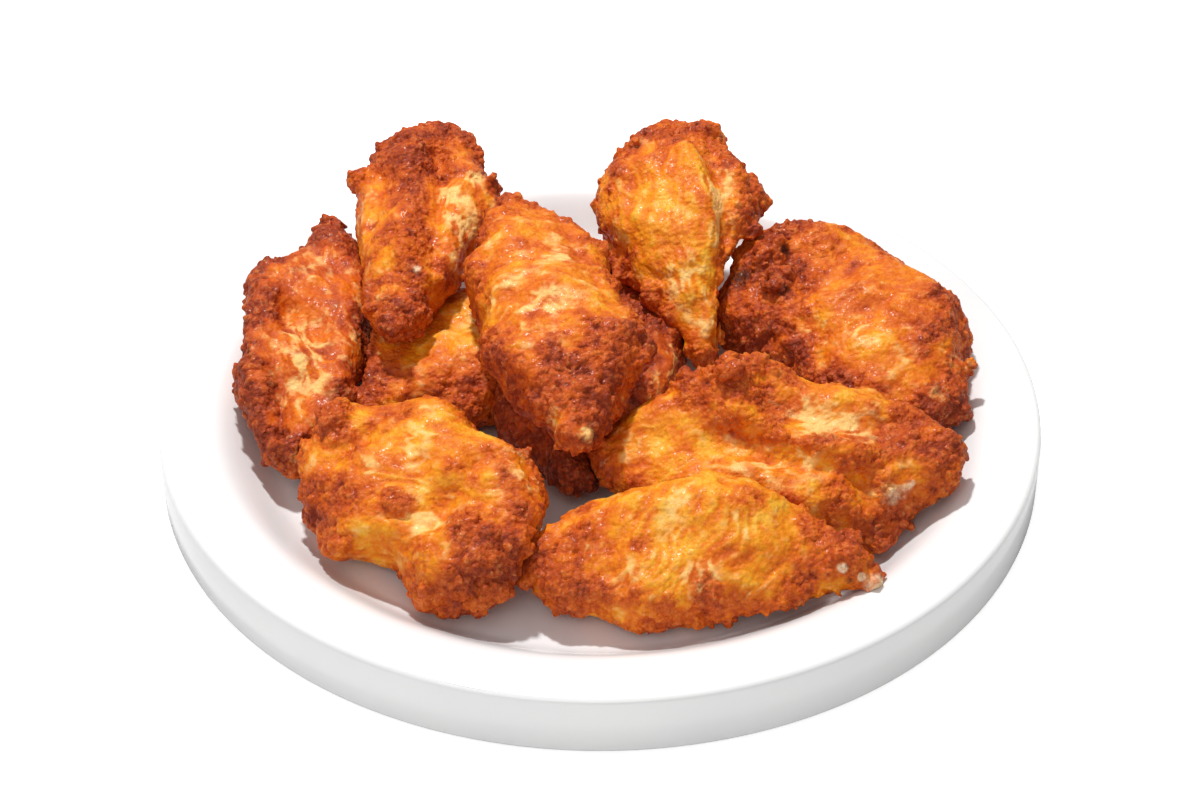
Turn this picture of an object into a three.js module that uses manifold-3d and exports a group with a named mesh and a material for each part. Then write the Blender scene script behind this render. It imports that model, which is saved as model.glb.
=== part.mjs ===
// A serving of fried chicken wings, heaped on the round white plate that it is eaten from.
//
// Units are millimetres, +Z is up, and the origin is the middle of the plate's foot, on the table.
// The diner sits on the -Y side. The plate is one turned solid. Each wing piece is one solid too:
// a run of rounded sections along a slightly bent bone line, with clumps of crust standing out of it.
import * as THREE from "three";
import { mergeVertices } from "three/addons/utils/BufferGeometryUtils.js";
import Module from "manifold-3d";

const wasm = await Module();
wasm.setup();

// ---- Driving dimensions -------------------------------------------------------------------------

const PLATE_RADIUS = 110;
const RIM_TOP = 17.7; // height of the rim's flat top above the table
const RIM_WIDTH = 12.4; // the flat top, from the outer wall inwards
const WELL_RADIUS = 80.5; // the well's flat floor
const WELL_FLOOR = 7.6; // height of that floor above the table
const WALL_FOOT = 1.8; // height of the outer wall's lower edge above the table
const FOOT_RECESS = 3.2; // height of the underside inside the foot ring
const EDGE_ROUND = 1.3; // rounding of the outer wall's two edges
const FOOT_RADIUS = 73; // middle of the foot ring
const FOOT_WIDTH = 6.5;
const FOOT_ROUND = 0.8; // how far the foot ring's sides lean in
const PLATE_SEGMENTS = 52;
const WELL_WALL_STEPS = 8;
const CORNER_STEPS = 3;

const WING_RINGS = 16; // sections along a piece
const WING_SIDES = 20; // points round a section
const GROOVE_WIDTH = 0.22; // half the width of the hollow between two bones, as a share of the piece
const THINNING = 0.7; // below 1, a piece stays thick for longer than it stays wide

// Waves of unevenness over a piece: how often round it, how often along it, and the share of the
// radius that each one adds or takes away.
const WAVES = [
  { round: 2, length: 2.3, share: 0.045 },
  { round: 3, length: 3.1, share: 0.04 },
  { round: 5, length: 4.7, share: 0.03 },
];

const TOUCH_GAP = 0.3; // between two pieces that rest against each other

// ---- Small helpers ------------------------------------------------------------------------------

const radians = THREE.MathUtils.degToRad;
const { lerp, smoothstep } = THREE.MathUtils;

// A sine or cosine pushed out towards a square wave, which turns an ellipse into a rounded slab.
function squared(value, roundness) {
  return Math.sign(value) * Math.abs(value) ** (2 / roundness);
}

function material(colour, roughness) {
  return new THREE.MeshStandardMaterial({ color: colour, roughness, metalness: 0 });
}

// A closed mesh as a manifold-3d solid, and back.
function toSolid(geometry) {
  const bare = new THREE.BufferGeometry();
  bare.setAttribute("position", geometry.getAttribute("position"));
  if (geometry.index) bare.setIndex(geometry.index);
  const merged = mergeVertices(bare, 1e-4);
  return new wasm.Manifold(
    new wasm.Mesh({
      numProp: 3,
      vertProperties: merged.attributes.position.array,
      triVerts: new Uint32Array(merged.index.array),
    }),
  );
}

function toGeometry(solid) {
  const mesh = solid.getMesh();
  const geometry = new THREE.BufferGeometry();
  geometry.setAttribute("position", new THREE.BufferAttribute(mesh.vertProperties, 3));
  geometry.setIndex(new THREE.BufferAttribute(mesh.triVerts, 1));
  geometry.computeVertexNormals();
  return geometry;
}

// ---- The plate ----------------------------------------------------------------------------------

// Height of the plate's upper surface at a distance from its middle: floor, S-shaped well wall, rim.
function plateTop(radius) {
  return lerp(WELL_FLOOR, RIM_TOP, smoothstep(radius, WELL_RADIUS, PLATE_RADIUS - RIM_WIDTH));
}

// A quarter-round corner of the outer wall, as points from one angle to another.
function roundedCorner(height, fromDegrees, toDegrees) {
  return Array.from({ length: CORNER_STEPS + 1 }, (_, i) => {
    const angle = radians(lerp(fromDegrees, toDegrees, i / CORNER_STEPS));
    return new THREE.Vector2(
      PLATE_RADIUS - EDGE_ROUND + EDGE_ROUND * Math.cos(angle),
      height + EDGE_ROUND * Math.sin(angle),
    );
  });
}

function plateGeometry() {
  const footOuter = FOOT_RADIUS + FOOT_WIDTH / 2;
  const footInner = FOOT_RADIUS - FOOT_WIDTH / 2;
  const profile = [
    new THREE.Vector2(0, FOOT_RECESS),
    new THREE.Vector2(footInner, FOOT_RECESS),
    new THREE.Vector2(footInner + FOOT_ROUND, 0),
    new THREE.Vector2(footOuter - FOOT_ROUND, 0),
    new THREE.Vector2(footOuter, WALL_FOOT),
    ...roundedCorner(WALL_FOOT + EDGE_ROUND, -90, 0),
    ...roundedCorner(RIM_TOP - EDGE_ROUND, 0, 90),
  ];
  for (let i = 0; i <= WELL_WALL_STEPS; i += 1) {
    const radius = lerp(PLATE_RADIUS - RIM_WIDTH, WELL_RADIUS, i / WELL_WALL_STEPS);
    profile.push(new THREE.Vector2(radius, plateTop(radius)));
  }
  profile.push(new THREE.Vector2(0, WELL_FLOOR));
  return new THREE.LatheGeometry(profile, PLATE_SEGMENTS).rotateX(Math.PI / 2);
}

// ---- A wing piece -------------------------------------------------------------------------------

// How wide a piece is along its length, from 0 to 1, as a share of its full size. Each end narrows
// to a share of the size over a share of the length, and then closes as a round cap.
function taper(along, piece) {
  const near = lerp(piece.nearEnd[0], 1, smoothstep(along, 0, piece.nearEnd[1]));
  const far = lerp(piece.farEnd[0], 1, smoothstep(1 - along, 0, piece.farEnd[1]));
  const cap = Math.sqrt(Math.max(0, 1 - Math.abs(2 * along - 1) ** piece.bluntness));
  return near * far * cap;
}

// Unevenness as a share of the radius: a few waves that run round and along, out of step by a seed.
function unevenness(along, angle, seed) {
  return WAVES.reduce((sum, wave, i) => {
    const phase = wave.round * angle + wave.length * 2 * Math.PI * along + seed * (i + 1);
    return sum + wave.share * Math.sin(phase);
  }, 0);
}

// One point of a piece's surface. A clump lifts the surface round the place where it sits, and
// the whole surface moves outwards by the amount that it grows.
function surfacePoint(piece, along, angle, grow) {
  const { length, width, thickness, roundness } = piece;
  const size = taper(along, piece) * (1 + unevenness(along, angle, piece.seed));
  const x = (along - 0.5) * length;
  const y = squared(Math.cos(angle), roundness) * (width / 2) * size;
  const between = Math.exp(-((y / (GROOVE_WIDTH * width)) ** 2)) * Math.sin(Math.PI * along);
  const sunk = Math.sin(angle) > 0 ? 1 - piece.groove * between : 1;
  const z = squared(Math.sin(angle), roundness) * (thickness / 2) * size ** THINNING * sunk;
  const point = new THREE.Vector3(x, y, z);
  const outwards = new THREE.Vector3(x / length ** 2, y / width ** 2, z / thickness ** 2).normalize();
  for (const clump of piece.clumps) {
    const place = radians(clump.round);
    const centre = new THREE.Vector3(
      (clump.along - 0.5) * length,
      (Math.cos(place) * width) / 2,
      (Math.sin(place) * thickness) / 2,
    );
    const reach = point.distanceTo(centre) / clump.reach;
    point.addScaledVector(outwards, clump.rise * Math.exp(-reach * reach));
  }
  point.addScaledVector(outwards, grow);
  point.y += piece.bend * (1 - (2 * along - 1) ** 2);
  return point;
}

function wingGeometry(piece, grow = 0) {
  const positions = [];
  const faces = [];
  const push = (point) => positions.push(point.x, point.y, point.z);
  push(surfacePoint(piece, 0, 0, grow));
  for (let ring = 1; ring < WING_RINGS; ring += 1) {
    const along = (1 - Math.cos((Math.PI * ring) / WING_RINGS)) / 2;
    for (let side = 0; side < WING_SIDES; side += 1) {
      push(surfacePoint(piece, along, (2 * Math.PI * side) / WING_SIDES, grow));
    }
  }
  push(surfacePoint(piece, 1, 0, grow));
  const last = positions.length / 3 - 1;
  const at = (ring, side) => 1 + (ring - 1) * WING_SIDES + (side % WING_SIDES);
  for (let side = 0; side < WING_SIDES; side += 1) {
    faces.push(0, at(1, side + 1), at(1, side));
    for (let ring = 1; ring < WING_RINGS - 1; ring += 1) {
      faces.push(at(ring, side), at(ring, side + 1), at(ring + 1, side));
      faces.push(at(ring, side + 1), at(ring + 1, side + 1), at(ring + 1, side));
    }
    faces.push(last, at(WING_RINGS - 1, side), at(WING_RINGS - 1, side + 1));
  }
  const geometry = new THREE.BufferGeometry();
  geometry.setAttribute("position", new THREE.Float32BufferAttribute(positions, 3));
  geometry.setIndex(faces);
  return geometry;
}

// ---- The ten pieces -----------------------------------------------------------------------------

// A flat is the wing's middle joint: two bones side by side, broad and blunt. Its sections are
// rounded slabs, and the groove is the hollow that shows between the two bones on the upper side.
const FLAT = {
  length: 82,
  width: 39,
  thickness: 21,
  roundness: 2.5,
  bluntness: 4.5,
  nearEnd: [0.6, 0.4],
  farEnd: [0.72, 0.35],
  groove: 0.16,
  bend: 0,
  clumps: [],
};

// A drumette is the wing's upper joint: one bone, with the meat gathered at its far end.
const DRUMETTE = {
  ...FLAT,
  length: 79,
  width: 38,
  thickness: 33,
  roundness: 2.1,
  bluntness: 2.8,
  nearEnd: [0.42, 0.62],
  farEnd: [0.9, 0.3],
  groove: 0,
};

// Each piece has the place of its middle, and its turn: roll about its own length, then pitch, then
// yaw about the vertical, where a yaw of 0 points its far end to +X. A clump of crust sits at a
// share of the length and an angle round it, and reaches and rises by so many millimetres.
// Earlier pieces in the list keep their full form, and later ones give way to them.
const PIECES = [
  {
    ...FLAT,
    name: "wing_front",
    seed: 5.2,
    place: [23, -66, 18.5],
    turn: [26, 0, -3],
    length: 88,
    width: 38,
    thickness: 20,
    nearEnd: [0.5, 0.45],
    farEnd: [0.38, 0.45],
    bend: 4,
  },
  {
    ...FLAT,
    name: "wing_middle_right",
    seed: 1.3,
    place: [41, -31, 22],
    turn: [20, 0, -3],
    length: 90,
    width: 43,
    thickness: 23,
    nearEnd: [0.5, 0.4],
    clumps: [
      { along: 0.4, round: 30, reach: 11, rise: 7.5 },
      { along: 0.8, round: 200, reach: 7, rise: 5.5 },
    ],
  },
  {
    ...FLAT,
    name: "wing_front_left",
    seed: 8.8,
    place: [-42, -43, 22],
    turn: [20, 0, -33],
    length: 68,
    width: 44,
    thickness: 24,
    clumps: [
      { along: 0.06, round: 50, reach: 12, rise: 4.5 },
      { along: 0.08, round: 180, reach: 11, rise: 3.5 },
      { along: 0.85, round: 170, reach: 13, rise: 7.5 },
    ],
  },
  {
    ...FLAT,
    name: "wing_left",
    seed: 4.4,
    place: [-73.5, 15, 21.5],
    turn: [10, -6, 87],
    length: 87,
    width: 31,
    nearEnd: [0.55, 0.4],
    clumps: [
      { along: 0.95, round: 80, reach: 9, rise: 5.5 },
      { along: 0.06, round: 150, reach: 10, rise: 3 },
    ],
  },
  {
    ...FLAT,
    name: "wing_under",
    seed: 2.1,
    place: [2, 7.5, 18.5],
    turn: [0, 0, 80],
    length: 84,
    width: 38,
    nearEnd: [0.45, 0.5],
  },
  {
    ...FLAT,
    name: "wing_inner_left",
    seed: 7.9,
    place: [-40.5, 14.5, 18.5],
    turn: [0, 0, 39],
    length: 68,
    width: 35,
  },
  {
    ...FLAT,
    name: "wing_right",
    seed: 3.6,
    place: [61.5, 21, 22.3],
    turn: [14, 4, -52],
    length: 84,
    width: 47,
    thickness: 25,
    bend: 4.5,
    clumps: [
      { along: 0.12, round: 90, reach: 15, rise: 3.5 },
      { along: 0.18, round: 195, reach: 13, rise: 7.5 },
      { along: 0.96, round: 160, reach: 11, rise: 3 },
    ],
  },
  {
    ...FLAT,
    name: "wing_back_left",
    seed: 6.1,
    place: [-47.5, 44, 36.5],
    turn: [0, -4, 86],
    length: 80,
    width: 35,
    thickness: 25.5,
    nearEnd: [0.5, 0.6],
    farEnd: [0.6, 0.35],
    clumps: [
      { along: 0.93, round: 70, reach: 13, rise: 4.5 },
      { along: 0.65, round: 180, reach: 12, rise: 3.5 },
      { along: 0.9, round: 270, reach: 13, rise: 7.5 },
    ],
  },
  {
    ...FLAT,
    name: "wing_top",
    seed: 9.7,
    place: [-12.5, 3.5, 39.5],
    turn: [0, -6, 102],
    length: 89,
    width: 36,
    thickness: 24,
    nearEnd: [0.5, 0.4],
    clumps: [{ along: 0.3, round: 180, reach: 16, rise: 4.5 }],
  },
  {
    ...DRUMETTE,
    name: "drumette_back",
    seed: 0.6,
    place: [22, 46, 31.5],
    turn: [0, -16, 98],
    length: 76,
    width: 41,
    clumps: [
      { along: 0.75, round: 180, reach: 11, rise: 3.5 },
      { along: 0.95, round: 200, reach: 11, rise: 3 },
      { along: 0.75, round: 0, reach: 13, rise: 3 },
    ],
  },
];

function placement(piece) {
  const [roll, pitch, yaw] = piece.turn.map(radians);
  const turn = new THREE.Euler(roll, pitch, yaw, "ZYX");
  return new THREE.Matrix4().compose(
    new THREE.Vector3(...piece.place),
    new THREE.Quaternion().setFromEuler(turn),
    new THREE.Vector3(1, 1, 1),
  );
}

// Soft crust gives way where it meets another piece: the earlier solids, each a touch larger, are
// cut out of this one, which then rests against them over a small patch.
function restOn(piece, neighbours) {
  const matrix = placement(piece);
  let solid = toSolid(wingGeometry(piece).applyMatrix4(matrix));
  for (const neighbour of neighbours) solid = solid.subtract(neighbour);
  const bodies = solid.decompose().sort((a, b) => b.volume() - a.volume());
  return toGeometry(bodies[0]).applyMatrix4(matrix.clone().invert());
}

// ---- The serving --------------------------------------------------------------------------------

const serving = new THREE.Group();
serving.name = "chicken_wings_serving";

const plate = new THREE.Mesh(plateGeometry(), material("#f2f1ee", 0.25));
plate.name = "plate";
serving.add(plate);

const crust = material("#c4662a", 0.5);
const laid = [toSolid(plateGeometry().translate(0, 0, TOUCH_GAP))];
for (const piece of PIECES) {
  const mesh = new THREE.Mesh(restOn(piece, laid), crust.clone());
  mesh.name = piece.name;
  mesh.position.set(...piece.place);
  mesh.rotation.set(...piece.turn.map(radians), "ZYX");
  serving.add(mesh);
  laid.push(toSolid(wingGeometry(piece, TOUCH_GAP).applyMatrix4(placement(piece))));
}

export default serving;
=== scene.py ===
# %% [markdown]
# # A plate of fried chicken wings
#
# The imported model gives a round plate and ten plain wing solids, each in its place. This lesson
# keeps the places and grows a fried crust on the pieces: lumps at the edges, blistered skin, pale
# stretched patches, and a colour that follows how hard each spot was fried.

# %% Tools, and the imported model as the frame
import math

import bmesh
import bpy
import numpy as np
from mathutils import Matrix, Vector
from mathutils.bvhtree import BVHTree


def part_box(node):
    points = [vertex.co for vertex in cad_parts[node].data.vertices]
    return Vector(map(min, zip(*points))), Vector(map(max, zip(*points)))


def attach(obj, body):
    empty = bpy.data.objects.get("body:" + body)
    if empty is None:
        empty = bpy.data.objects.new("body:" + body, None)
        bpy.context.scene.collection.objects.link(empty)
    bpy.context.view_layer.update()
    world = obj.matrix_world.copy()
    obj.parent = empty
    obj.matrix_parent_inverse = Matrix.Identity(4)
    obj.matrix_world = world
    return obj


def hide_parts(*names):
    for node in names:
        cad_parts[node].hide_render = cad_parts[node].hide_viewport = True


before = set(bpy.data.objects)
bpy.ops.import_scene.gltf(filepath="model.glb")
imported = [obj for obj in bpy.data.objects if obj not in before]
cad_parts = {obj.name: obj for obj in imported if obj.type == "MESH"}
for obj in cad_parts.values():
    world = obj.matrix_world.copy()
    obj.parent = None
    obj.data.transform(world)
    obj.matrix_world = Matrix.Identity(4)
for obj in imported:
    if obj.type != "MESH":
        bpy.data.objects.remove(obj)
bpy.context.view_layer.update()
MM = 0.001
PLATE_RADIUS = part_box("plate")[1].x
RIM_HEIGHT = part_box("plate")[1].z
PIECE_NAMES = sorted(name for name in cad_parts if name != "plate")
print("plate radius, mm:", round(PLATE_RADIUS / MM, 1))
print("wing pieces:", len(PIECE_NAMES))

# %% [markdown]
# ## Smooth randomness
#
# Crust is random, but not like television snow: its lumps have a size and each blends into the
# next. Two kinds of noise give that. Soft noise is a random number at each corner of a lattice,
# blended in between. Cell noise drops one seed in each lattice box and measures how far the
# nearest seed is, which makes round lumps with sharp creases, as on a cauliflower. Blender has both
# as functions for one point at a time. Written for whole arrays they are much quicker.

# %% Noise for arrays of points
NEIGHBOURS = [(i, j, k) for i in (-1, 0, 1) for j in (-1, 0, 1) for k in (-1, 0, 1)]
CORNERS = [(i, j, k) for i in (0, 1) for j in (0, 1) for k in (0, 1)]
AXIS_SCRAMBLERS = (73856093, 19349663, 83492791)
SEED_SCRAMBLER = 2654435761
MIXER = 2246822519
SOFT_SHIFT, CELL_SHIFT = 7.31, 3.17
SOFT_GAIN = 1.6
FAR = 9.0
PLACE_SEEDS = (11, 23, 37)
DOME_REACH = 0.85
LOW_DOME, DOME_RANGE = 0.45, 0.55


def scrambled(cell, seed):
    """A number from 0 to 1 for each whole-number cell, always the same for the same cell."""
    bits = np.full(len(cell), seed * SEED_SCRAMBLER % 2**32, dtype=np.uint32)
    for axis, scrambler in enumerate(AXIS_SCRAMBLERS):
        bits ^= cell[:, axis].astype(np.int64).astype(np.uint32) * np.uint32(scrambler)
    for shift in (15, 13, 16):
        bits = (bits ^ (bits >> np.uint32(shift))) * np.uint32(MIXER)
    return (bits >> np.uint32(8)).astype(float) / 2**24


def soft_noise(points, size, seed, octaves=2):
    """Blended lattice noise, about -1 to 1, with lumps of the given size."""
    total = np.zeros(len(points))
    weight = 0.0
    scale = 1.0
    for octave in range(octaves):
        lattice = points / size * scale + seed * SOFT_SHIFT
        cell = np.floor(lattice)
        part = lattice - cell
        blend = part * part * (3 - 2 * part)
        value = np.zeros(len(points))
        for corner in CORNERS:
            share = np.prod(np.where(np.array(corner) == 1, blend, 1 - blend), axis=1)
            value += share * scrambled(cell + corner, seed + octave)
        total += (2 * value - 1) / scale
        weight += 1 / scale
        scale *= 2
    return total / weight * SOFT_GAIN


def cell_noise(points, size, seed):
    """Distance to the nearest seed, in cells, and that seed's own random number."""
    lattice = points / size + seed * CELL_SHIFT
    cell = np.floor(lattice)
    nearest = np.full(len(points), FAR)
    own = np.zeros(len(points))
    for step in NEIGHBOURS:
        there = cell + step
        place = np.stack([scrambled(there, seed + extra) for extra in PLACE_SEEDS], axis=1)
        distance = np.linalg.norm(there + place - lattice, axis=1)
        closer = distance < nearest
        nearest[closer] = distance[closer]
        own[closer] = place[closer, 0]
    return nearest, own


def domes(points, size, seed):
    """Round lumps from 0 in the creases to 1 on top, some of them lower than others."""
    distance, own = cell_noise(points, size, seed)
    height = np.sqrt(np.clip(1 - (distance / DOME_REACH) ** 2, 0, 1))
    return height * (LOW_DOME + DOME_RANGE * own)


def smoothstep(low, high, value):
    """From 0 at the low value to 1 at the high one, without a kink."""
    share = np.clip((value - low) / (high - low), 0, 1)
    return share * share * (3 - 2 * share)


trial = soft_noise(np.random.default_rng(1).random((1000, 3)), 0.1, 1)
print("soft noise spans", trial.min().round(2), "to", trial.max().round(2))

# %% [markdown]
# ## A piece's own directions
#
# Fried spots are easiest to name on the piece itself: so far along it, so far across it, on its upper
# side. The directions come from the solid: along is where its surface spreads most, and up is where
# it spreads least. Each runs from -1 at one end of the piece to 1 at the other.

# %% A frame that belongs to one piece


def merged_copy(node):
    """A CAD node's triangles as one connected bmesh, without changing the node."""
    mesh = bmesh.new()
    mesh.from_mesh(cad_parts[node].data)
    bmesh.ops.remove_doubles(mesh, verts=mesh.verts, dist=0.001 * MM)
    return mesh


class OwnFrame:
    """Turns points in the room into (along, across, up) on one piece, and back."""

    def __init__(self, mesh):
        points = np.array([vert.co for vert in mesh.verts])
        middles = np.array([face.calc_center_median() for face in mesh.faces])
        areas = np.array([face.calc_area() for face in mesh.faces])
        centre = points.mean(axis=0)
        spread = ((middles - centre) * areas[:, None]).T @ (middles - centre)
        directions = np.linalg.eigh(spread)[1]
        along, up = directions[:, 2], directions[:, 0]
        along = along * np.sign(along[np.argmax(np.abs(along))])
        up = up * np.sign(up[2])
        self.axes = np.array([along, np.cross(up, along), up])
        turned = (points - centre) @ self.axes.T
        self.half = (turned.max(axis=0) - turned.min(axis=0)) / 2
        middle = (turned.max(axis=0) + turned.min(axis=0)) / 2
        self.centre = centre + middle @ self.axes

    def local(self, points):
        """Points in the room as (along, across, up), each from -1 to 1 over the piece."""
        return (points - self.centre) @ self.axes.T / self.half

    def world(self, place):
        """One (along, across, up) place as a point in the room."""
        return Vector(self.centre + (np.array(place) * self.half) @ self.axes)


surfaces = {}
own_frames = {}
for node in ["plate", *PIECE_NAMES]:
    solid = merged_copy(node)
    surfaces[node] = BVHTree.FromBMesh(solid)
    if node != "plate":
        own_frames[node] = OwnFrame(solid)
        print(node, "is, in mm:", (own_frames[node].half * 2 / MM).round(0))
    solid.free()
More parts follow.
